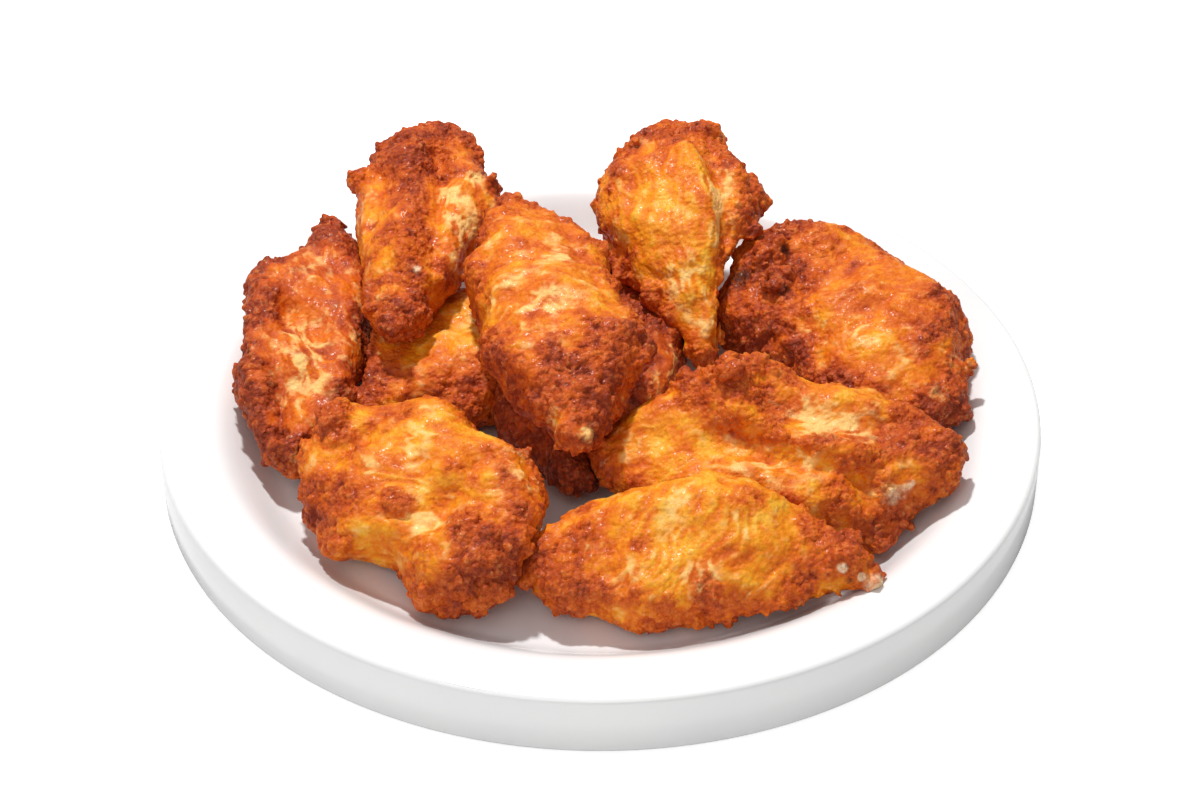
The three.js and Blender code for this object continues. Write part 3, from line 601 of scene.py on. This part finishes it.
# %% One fried piece
BASE_VOXEL = 1.3 * MM
CLUMP_VOXEL = 0.75 * MM
SKIN_VOXEL = 0.45 * MM
KNOB, KNOB_HEIGHT = 3.8 * MM, 1.3 * MM
GRAIN, GRAIN_HEIGHT = 1.8 * MM, 0.9 * MM
BUBBLE, BUBBLE_HEIGHT = 0.95 * MM, 0.4 * MM
CRUMB, CRUMB_HEIGHT = 2.2 * MM, 0.9 * MM
CRUMB_REACH, CRUMB_RARITY = 0.38, 0.62
WRINKLE, WRINKLE_HEIGHT, WRINKLE_STRETCH = 2.6 * MM, 0.45 * MM, 3.2
WAVE, WAVE_HEIGHT = 15 * MM, 1.6 * MM
RIPPLE, RIPPLE_HEIGHT = 6 * MM, 0.7 * MM
SHRINK = 0.4 * MM
KNOB_SINK = 0.5 * MM
CLEARANCE = 0.1 * MM
SKIN_BROWN, CRUST_BROWN, SPOT_BROWN = 0.38, 0.24, 0.5
CLOUD, CLOUD_BROWN = 5 * MM, 0.18
VALLEY_BROWN = 0.3


def store(made, name, values):
    """Keeps one number for each vertex on the mesh, where a material can read it."""
    attribute = made.data.attributes.new(name, "FLOAT", "POINT")
    attribute.data.foreach_set("value", np.clip(values, 0, 1).astype(np.float32))


def wrinkles(node, points, seed):
    """Fine folds of stretched skin, from 0 in the valleys to 1 on top."""
    flat = (points - own_frames[node].centre) @ own_frames[node].axes.T
    turn = math.radians(FRYING[node]["streaks"])
    bend = 3 * MM * soft_noise(points, 12 * MM, seed + 60)
    run = flat[:, 0] * math.cos(turn) + flat[:, 1] * math.sin(turn)
    side = flat[:, 1] * math.cos(turn) - flat[:, 0] * math.sin(turn) + bend
    stretched = np.stack([run / WRINKLE_STRETCH, side, flat[:, 2]], axis=1)
    return 1 - np.abs(soft_noise(stretched, WRINKLE, seed + 61, 3))


def crumbs(points, seed):
    """Round crumbs of batter, in about four lattice boxes out of ten."""
    distance, own = cell_noise(points, CRUMB, seed)
    round_top = np.sqrt(np.clip(1 - (distance / CRUMB_REACH) ** 2, 0, 1))
    return round_top * (own > CRUMB_RARITY)


def lifted(made, node, lift, reach=4 * MM):
    """Moves the skin along its normals, less where a neighbour is near."""
    points, normals = points_of(made), points_of(made, "normal")
    room = smoothstep(0, reach, room_left(node, points))
    outward = np.where(lift > 0, lift * room, lift)
    move_points(made, points + normals * outward[:, None])


def set_on_plate(made):
    """Lifts whatever reached into the plate back onto its surface."""
    points = points_of(made)
    for index in np.nonzero(points[:, 2] < RIM_HEIGHT)[0]:
        x, y, z = points[index]
        top = surfaces["plate"].ray_cast(Vector((x, y, 2 * RIM_HEIGHT)), Vector((0, 0, -1)))[0]
        if top is not None:
            points[index, 2] = max(z, top.z + CLEARANCE)
    move_points(made, points)


def clumped(node):
    """The piece's solid with its clumps of crust, wrapped in one even skin."""
    frying = FRYING[node]
    random = np.random.default_rng(100 + frying["seed"])
    made = new_object(f"fried_{node}", merged_copy(node))
    applied(made, "REMESH", mode="VOXEL", voxel_size=BASE_VOXEL)
    applied(made, "SMOOTH", factor=0.6, iterations=9)
    balls = bmesh.new()
    for *place, radius, count in frying["clumps"]:
        add_clump(balls, node, place, radius * MM, count, random)
    edge_clumps(balls, node, random)
    balls.from_mesh(made.data)
    balls.to_mesh(made.data)
    balls.free()
    applied(made, "REMESH", mode="VOXEL", voxel_size=CLUMP_VOXEL)
    applied(made, "SMOOTH", factor=0.5, iterations=2)
    set_on_plate(made)
    return made


def swell_and_knobs(made, node):
    """The large shapes: waves, folds and swells first, then the knobs of the crust."""
    frying = FRYING[node]
    seed = frying["seed"]
    points = points_of(made)
    swell = -SHRINK + WAVE_HEIGHT * soft_noise(points, WAVE, seed + 70)
    swell += fold_field(node, points, frying["folds"])
    swell += MM * spot_field(node, points, frying["swell"])
    swell += RIPPLE_HEIGHT * soft_noise(points, RIPPLE, seed + 71)
    lifted(made, node, swell)
    points = points_of(made)
    rough = crust_share(node, points)
    shifted = points + 1.0 * MM * soft_noise(points, 5 * MM, seed + 3)[:, None]
    knobs = domes(shifted, KNOB, seed)
    lifted(made, node, (KNOB_HEIGHT * knobs - KNOB_SINK) * rough)
    set_on_plate(made)
    applied(made, "REMESH", mode="VOXEL", voxel_size=SKIN_VOXEL)


def grains_and_bubbles(made, node):
    """The fine shapes. Returns the fields that the colour needs."""
    seed = FRYING[node]["seed"]
    points = points_of(made)
    rough = crust_share(node, points)
    grains = domes(points, GRAIN, seed + 1)
    folds = wrinkles(node, points, seed)
    lift = GRAIN_HEIGHT * (grains - 0.35) * (0.35 + 0.65 * rough)
    lift += CRUMB_HEIGHT * crumbs(points, seed + 8) * rough
    lift += WRINKLE_HEIGHT * (folds - 0.6) * (1 - rough)
    lifted(made, node, lift, 3 * MM)
    applied(made, "SMOOTH", factor=0.5, iterations=1)
    bubbles = domes(points_of(made), BUBBLE, seed + 2)
    lifted(made, node, BUBBLE_HEIGHT * (bubbles - 0.3) * (0.7 + 0.3 * rough), 2 * MM)
    set_on_plate(made)
    return rough, folds, 0.55 * grains + 0.45 * bubbles


def browning_of(node, points, rough, folds):
    """The number that picks the colour: 0 is light gold and 1 dark red-brown."""
    frying = FRYING[node]
    brown = SKIN_BROWN + CRUST_BROWN * rough
    brown += SPOT_BROWN * (browning_field(node, points) - BASE_BROWN)
    brown += CLOUD_BROWN * soft_noise(points, CLOUD, frying["seed"] + 95) + frying.get("tone", 0)
    brown += VALLEY_BROWN * (0.7 - folds) * (1 - rough)
    return brown


def paleness_of(node, points, rough, folds):
    """How pale the skin stays: at its spots, and along its wrinkles."""
    seed = FRYING[node]["seed"]
    skin = 1 - rough
    streak = smoothstep(0.45, 0.95, folds)
    pale = spot_field(node, points, FRYING[node]["pale"])
    pale *= 0.35 + 0.8 * streak + 0.7 * soft_noise(points, 3 * MM, seed + 90)
    pale += 0.35 * (streak - 0.4) * skin
    pale += 0.5 * (soft_noise(points, 2.4 * MM, seed + 96) - 0.15) * skin
    return pale


def fried(node):
    """Grows one piece, keeps its fields on the mesh and returns it."""
    frying = FRYING[node]
    made = clumped(node)
    swell_and_knobs(made, node)
    rough, folds, height = grains_and_bubbles(made, node)
    points = points_of(made)
    store(made, "browning", browning_of(node, points, rough, folds))
    store(made, "pale", paleness_of(node, points, rough, folds))
    # Char, and painted shadow in the dark gaps deep in the heap.
    store(made, "char_and_painted_shadow", spot_field(node, points, frying.get("char_and_painted_shadow", [])))
    store(made, "bone", spot_field(node, points, frying.get("bone", [])))
    store(made, "height", height)
    store(made, "rough", rough)
    made.data.shade_smooth()
    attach(made, "root")
    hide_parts(node)
    print(node, "has", 2 * len(made.data.polygons), "triangles")
    return made


fried_pieces = [fried(node) for node in PIECE_NAMES]

# %% [markdown]
# ## The crust's finish
#
# Fried skin runs from cream through gold and orange to a dark red-brown. A colour ramp holds
# those steps, and the browning field picks the place on it, nudged by fine noise so that no two
# blisters match. Fat under the skin lets light in, so there is some subsurface scattering, and a thin
# film of oil gives the small sharp glints.

# %% Helpers for node materials
NOISE_ROUGHNESS = 0.55


def new_material(name):
    """An empty node material, its tree, and its Principled shader joined to the output."""
    material = bpy.data.materials.new(name)
    material.use_nodes = True
    tree = material.node_tree
    tree.nodes.clear()
    output = tree.nodes.new("ShaderNodeOutputMaterial")
    shader = tree.nodes.new("ShaderNodeBsdfPrincipled")
    tree.links.new(shader.outputs["BSDF"], output.inputs["Surface"])
    return material, tree, shader


def linear(*srgb):
    """A colour from its usual 0 to 255 numbers, as Blender's linear values."""
    return tuple(((c / 255 + 0.055) / 1.055) ** 2.4 if c > 10 else c / 255 / 12.92 for c in srgb) + (1.0,)


def attribute(tree, name):
    """One of the numbers kept on the mesh."""
    node = tree.nodes.new("ShaderNodeAttribute")
    node.attribute_name = name
    return node.outputs["Fac"]


def noise(tree, coordinates, scale, detail):
    """Soft noise with this many lumps to the metre."""
    node = tree.nodes.new("ShaderNodeTexNoise")
    node.inputs["Scale"].default_value = scale
    node.inputs["Detail"].default_value = detail
    node.inputs["Roughness"].default_value = NOISE_ROUGHNESS
    tree.links.new(coordinates, node.inputs["Vector"])
    return node.outputs["Fac"]


def cells(tree, coordinates, scale):
    """Distance to the nearest seed of a cell noise."""
    node = tree.nodes.new("ShaderNodeTexVoronoi")
    node.inputs["Scale"].default_value = scale
    tree.links.new(coordinates, node.inputs["Vector"])
    return node.outputs["Distance"]


def maths(tree, operation, *values):
    """A Math node fed with sockets or plain numbers."""
    node = tree.nodes.new("ShaderNodeMath")
    node.operation = operation
    for socket, value in zip(node.inputs, values):
        if isinstance(value, (int, float)):
            socket.default_value = value
        else:
            tree.links.new(value, socket)
    return node.outputs[0]


def spread(tree, value, low, high, new_low, new_high):
    """Maps one range of a value smoothly to another."""
    node = tree.nodes.new("ShaderNodeMapRange")
    node.interpolation_type = "SMOOTHSTEP"
    names = ("From Min", "From Max", "To Min", "To Max")
    for name, number in zip(names, (low, high, new_low, new_high)):
        node.inputs[name].default_value = number
    tree.links.new(value, node.inputs["Value"])
    return node.outputs["Result"]


def ramp(tree, value, stops):
    """A colour for each value, from stops of a place and a colour."""
    node = tree.nodes.new("ShaderNodeValToRGB")
    elements = node.color_ramp.elements
    while len(elements) < len(stops):
        elements.new(0.5)
    for element, (place, colour) in zip(elements, stops):
        element.position = place
        element.color = colour
    tree.links.new(value, node.inputs["Fac"])
    return node.outputs["Color"]


def mixed(tree, share, first, second):
    """Mixes two colours by a share. Each may be a socket or a plain value."""
    node = tree.nodes.new("ShaderNodeMix")
    node.data_type = "RGBA"
    sockets = (node.inputs[0], node.inputs[6], node.inputs[7])
    for socket, value in zip(sockets, (share, first, second)):
        if isinstance(value, (int, float, tuple)):
            socket.default_value = value
        else:
            tree.links.new(value, socket)
    return node.outputs[2]


def add(tree, *values):
    return maths(tree, "ADD", *values)


def times(tree, *values):
    return maths(tree, "MULTIPLY", *values)


def swing(tree, value, amount):
    """Noise as a change up and down by about this amount."""
    return times(tree, maths(tree, "SUBTRACT", value, 0.5), amount)


def bumped(tree, shader, height, strength, distance):
    """Lets a height shape the light on a shader's surface."""
    bump = tree.nodes.new("ShaderNodeBump")
    bump.inputs["Strength"].default_value = strength
    bump.inputs["Distance"].default_value = distance
    tree.links.new(height, bump.inputs["Height"])
    tree.links.new(bump.outputs["Normal"], shader.inputs["Normal"])


print("gold in linear light:", [round(part, 3) for part in linear(244, 176, 50)])

# %% [markdown]
# ## Building the crust's colour
#
# The colours go on in layers. First the ramp, then a painted highlight on the highest lumps, then
# pale skin, char with painted shadow, and last the bone. Each layer's edge is broken up by the fine
# noise. Painted shade makes the hollows between lumps darker than their tops, most of all where the
# crust is rough. The scales of the noises count lumps to the metre.

# %% The crust material
FRIED_COLOURS = [
    (0.0, linear(244, 176, 50)),
    (0.16, linear(238, 148, 20)),
    (0.34, linear(229, 122, 11)),
    (0.52, linear(216, 100, 12)),
    (0.7, linear(199, 83, 17)),
    (0.88, linear(176, 68, 20)),
    (1.0, linear(146, 52, 20)),
]
# Painted highlight colour, laid on the tops of the highest lumps.
PAINTED_HIGHLIGHT_COLOUR = linear(244, 158, 88)
PALE_COLOUR = linear(255, 208, 128)
# Dark colour for real char and for painted shadow in the dark gaps deep in the heap.
CHAR_AND_SHADOW_COLOUR = linear(56, 24, 14)
BONE_COLOURS = [(0.3, linear(240, 176, 124)), (0.7, linear(255, 238, 204))]
BLOTCHES, GRAINS, SPECKS, PIMPLES = 330, 1100, 2400, 900
# Painted shade: how much darker the hollows between lumps are made.
HOLLOW_PAINTED_SHADE = 0.45

crust, tree, shader = new_material("fried_crust")
place = tree.nodes.new("ShaderNodeTexCoord").outputs["Object"]
blotches = noise(tree, place, BLOTCHES, 4)
grains = noise(tree, place, GRAINS, 3)
specks = noise(tree, place, SPECKS, 2)
rough = attribute(tree, "rough")
height = attribute(tree, "height")

# The place on the ramp: browning and noise, plus painted shade in the hollows below.
fried_to_with_painted_shade = add(tree, attribute(tree, "browning"), swing(tree, blotches, 0.5))
fried_to_with_painted_shade = add(tree, fried_to_with_painted_shade, swing(tree, grains, 0.5))
# Painted shade: the hollows between lumps are pushed darker along the ramp, more where the crust is rough.
hollow_painted_shade = times(tree, maths(tree, "SUBTRACT", 0.5, height), add(tree, rough, 0.3))
fried_to_with_painted_shade = add(tree, fried_to_with_painted_shade, times(tree, hollow_painted_shade, HOLLOW_PAINTED_SHADE))
colour = ramp(tree, fried_to_with_painted_shade, FRIED_COLOURS)

# Painted highlight: the tops of the highest lumps are mixed towards a light pinkish colour.
painted_highlights = times(tree, spread(tree, height, 0.5, 0.85, 0, 0.5), spread(tree, grains, 0.4, 0.7, 0, 1))
colour = mixed(tree, painted_highlights, colour, PAINTED_HIGHLIGHT_COLOUR)
pale = add(tree, attribute(tree, "pale"), swing(tree, grains, 0.9))
colour = mixed(tree, spread(tree, pale, 0.08, 1.12, 0, 0.9), colour, PALE_COLOUR)
# Real char, and painted shadow in the dark gaps deep in the heap.
char_and_painted_shadow = add(tree, attribute(tree, "char_and_painted_shadow"), swing(tree, grains, 0.6))
colour = mixed(tree, spread(tree, char_and_painted_shadow, 0.2, 0.8, 0, 0.9), colour, CHAR_AND_SHADOW_COLOUR)
bone = add(tree, attribute(tree, "bone"), swing(tree, grains, 0.45))
colour = mixed(tree, spread(tree, bone, 0.25, 0.8, 0, 0.95), colour, ramp(tree, specks, BONE_COLOURS))
tree.links.new(colour, shader.inputs["Base Color"])

tree.links.new(spread(tree, grains, 0.35, 0.65, 0.42, 0.68), shader.inputs["Roughness"])
tree.links.new(spread(tree, specks, 0.5, 0.66, 0, 0.42), shader.inputs["Coat Weight"])
shader.inputs["Coat Roughness"].default_value = 0.25
shader.inputs["Subsurface Weight"].default_value = 0.15
shader.inputs["Subsurface Radius"].default_value = (1.0, 0.3, 0.06)
shader.inputs["Subsurface Scale"].default_value = 1.2 * MM
shader.inputs["Specular IOR Level"].default_value = 0.2

pimple_depth = add(tree, times(tree, rough, -0.6), -0.4)
grain_depth = add(tree, times(tree, rough, 0.5), 0.6)
pimples = times(tree, cells(tree, place, PIMPLES), pimple_depth)
bumped(tree, shader, add(tree, pimples, times(tree, grains, grain_depth)), 1.0, 0.5 * MM)
for made in fried_pieces:
    made.data.materials.clear()
    made.data.materials.append(crust)
print("crust material nodes:", len(tree.nodes), "on", len(fried_pieces), "pieces")

# %% [markdown]
# ## The plate's glaze
#
# The plate is thick white porcelain under a clear glaze. The glaze is the gloss: a fairly smooth
# surface, with a hint of unevenness that only shows in the highlights.

# %% The glaze material
GLAZE_COLOURS = [(0.3, linear(241, 241, 241)), (0.7, linear(246, 246, 245))]
glaze, tree, shader = new_material("white_glaze")
place = tree.nodes.new("ShaderNodeTexCoord").outputs["Object"]
cloud = noise(tree, place, 30, 2)
tree.links.new(ramp(tree, cloud, GLAZE_COLOURS), shader.inputs["Base Color"])
tree.links.new(spread(tree, cloud, 0.3, 0.7, 0.2, 0.27), shader.inputs["Roughness"])
shader.inputs["Coat Weight"].default_value = 0.4
shader.inputs["Coat Roughness"].default_value = 0.08
bumped(tree, shader, noise(tree, place, 70, 2), 0.12, 0.2 * MM)
print("glaze material nodes:", len(tree.nodes))

# %% [markdown]
# ## A rounder plate
#
# The CAD solid's round parts are flat facets, so a smoother copy replaces it. A plane through the
# middle cuts out the profile, and that profile is spun round the axis in many small steps.

# %% The plate, spun from its own profile
SPIN_STEPS = 192


def plate_profile():
    """Half of the plate's outline, cut by a plane through its middle."""
    solid = merged_copy("plate")
    whole = solid.verts[:] + solid.edges[:] + solid.faces[:]
    bmesh.ops.bisect_plane(solid, geom=whole, dist=0.001 * MM, plane_co=(0, 0, 0),
                           plane_no=(0, 1, 0), clear_inner=True, clear_outer=True)
    left = [vert for vert in solid.verts if vert.co.x < -0.01 * MM]
    bmesh.ops.delete(solid, geom=left, context="VERTS")
    return solid


profile = plate_profile()
print("plate profile points:", len(profile.verts))
bmesh.ops.spin(profile, geom=profile.verts[:] + profile.edges[:], cent=(0, 0, 0), axis=(0, 0, 1),
               angle=2 * math.pi, steps=SPIN_STEPS, use_merge=True)
bmesh.ops.remove_doubles(profile, verts=profile.verts, dist=0.01 * MM)
bmesh.ops.recalc_face_normals(profile, faces=profile.faces)
plate = new_object("glazed_plate", profile)
plate.data.materials.append(glaze)
plate.data.shade_smooth()
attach(plate, "root")
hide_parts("plate")
print("plate faces:", len(plate.data.polygons))

# %% [markdown]
# ## The floor
#
# The serving stands on plain paper. Paper that is bright enough to look pure white would also light
# the plate's wall from below. So the paper is light grey, and it glows a little, but only where the
# camera sees it.

# %% The floor
FLOOR_REACH = 30 * PLATE_RADIUS
BLACK, WHITE = (0.0, 0.0, 0.0, 1.0), (1.0, 1.0, 1.0, 1.0)
floor_mesh = bmesh.new()
bmesh.ops.create_grid(floor_mesh, x_segments=1, y_segments=1, size=FLOOR_REACH)
floor = new_object("floor", floor_mesh)
paper, tree, shader = new_material("white_paper")
shader.inputs["Base Color"].default_value = linear(232, 232, 232)
shader.inputs["Roughness"].default_value = 0.9
in_view = tree.nodes.new("ShaderNodeLightPath").outputs["Is Camera Ray"]
tree.links.new(mixed(tree, in_view, BLACK, WHITE), shader.inputs["Emission Color"])
shader.inputs["Emission Strength"].default_value = 0.7
floor.data.materials.append(paper)
print("floor is, in m:", round(2 * FLOOR_REACH, 1))

# %% [markdown]
# ## The lights
#
# A small lamp high up behind the plate, a little to the left, gives the crust its shape and its short,
# crisp shadows. Two wide lamps in front, one of them low, and an even white sky keep the shadows open.

# %% The lights
LIGHTS = [
    ("key", 200, 66, 1.1, 0.07, 10.6),
    ("fill", -15, 42, 1.3, 0.9, 3.1),
    ("low fill", -30, 14, 1.3, 0.9, 1.8),
]
SKY_STRENGTH = 0.36
centre = Vector((0, 0, RIM_HEIGHT))


def area_light(name, azimuth, elevation, distance, size, power):
    """A square lamp aimed at the plate. Azimuth 0 is in front and turns to the right."""
    across = math.cos(math.radians(elevation)) * distance
    turn = math.radians(azimuth)
    spot = centre + Vector((math.sin(turn) * across, -math.cos(turn) * across,
                            math.sin(math.radians(elevation)) * distance))
    data = bpy.data.lights.new(name, "AREA")
    data.size = size
    data.energy = power
    lamp = bpy.data.objects.new(name, data)
    aim = (centre - spot).to_track_quat("-Z", "Y").to_matrix().to_4x4()
    lamp.matrix_world = Matrix.Translation(spot) @ aim
    bpy.context.scene.collection.objects.link(lamp)


for light in LIGHTS:
    area_light(*light)
world = bpy.data.worlds.new("studio")
world.use_nodes = True
sky = world.node_tree.nodes["Background"]
sky.inputs["Color"].default_value = WHITE
sky.inputs["Strength"].default_value = SKY_STRENGTH
bpy.context.scene.world = world
bpy.context.scene.view_settings.view_transform = "Standard"
print("lamps:", len(LIGHTS))

# %% [markdown]
# ## The camera
#
# A diner looks down at the plate at a little under forty degrees. A long lens from far away keeps the
# near and far rims almost the same size. The target is a bit behind the middle of the plate.

# %% The camera
LENS, SENSOR = 85, 36
VIEW_ELEVATION = math.radians(37.5)
VIEW_DISTANCE = 6.667 * PLATE_RADIUS
TARGET_BACK, TARGET_UP = 0.158 * PLATE_RADIUS, 0.034 * PLATE_RADIUS
target = Vector((0, TARGET_BACK, TARGET_UP))
camera_data = bpy.data.cameras.new("camera")
camera_data.lens = LENS
camera_data.sensor_width = SENSOR
camera = bpy.data.objects.new("camera", camera_data)
back = Vector((0, -math.cos(VIEW_ELEVATION), math.sin(VIEW_ELEVATION)))
camera.matrix_world = (Matrix.Translation(target + back * VIEW_DISTANCE)
                       @ back.to_track_quat("Z", "Y").to_matrix().to_4x4())
bpy.context.scene.collection.objects.link(camera)
bpy.context.scene.camera = camera
print("camera distance, m:", round(VIEW_DISTANCE, 2))
